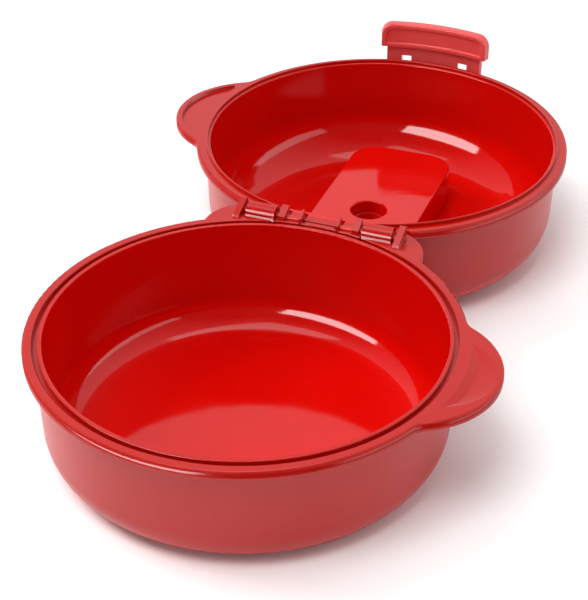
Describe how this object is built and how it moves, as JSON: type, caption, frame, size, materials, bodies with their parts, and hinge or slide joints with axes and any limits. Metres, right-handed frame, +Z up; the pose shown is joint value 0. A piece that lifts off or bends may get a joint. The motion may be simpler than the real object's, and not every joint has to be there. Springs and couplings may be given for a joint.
{
  "type": "microwave egg cooker",
  "caption": "Round two-bowl plastic egg cooker for a microwave oven, with a hinged lid bowl, ear handles, a vent flap and a latch clip.",
  "frame": {"origin": "centre of the base bowl's foot, on the table", "axes": "+Z up, +Y from the base bowl towards the opened lid bowl, +X towards the base bowl's ear handle"},
  "size_m": [0.138, 0.2365, 0.0476],
  "materials": {
    "red_plastic": "gloss inside, satin outside",
    "clip_plastic": "satin",
    "pin_plastic": "satin"
  },
  "bodies": {
    "base": {"base_bowl": "red_plastic", "hinge_pin_left": "pin_plastic", "hinge_pin_right": "pin_plastic"},
    "lid": {"lid_bowl": "red_plastic", "vent_pin": "pin_plastic"},
    "latch": {"latch_clip": "clip_plastic", "latch_pin_left": "pin_plastic", "latch_pin_right": "pin_plastic"},
    "flap": {"vent_flap": "clip_plastic"}
  },
  "joints": [
    {"name": "lid_hinge", "type": "hinge", "parent": "base", "child": "lid", "pos_m": [0, 0.0575, 0.03515], "axis": [1, 0, 0], "range_deg": [0, 180]},
    {"name": "latch_pivot", "type": "hinge", "parent": "lid", "child": "latch", "pos_m": [0, 0.1762, 0.0312], "axis": [1, 0, 0], "range_deg": [-60, 7]},
    {"name": "vent_hinge", "type": "hinge", "parent": "lid", "child": "flap", "pos_m": [0, 0.133, 0.009], "axis": [1, 0, 0], "range_deg": [0, 95]}
  ]
}
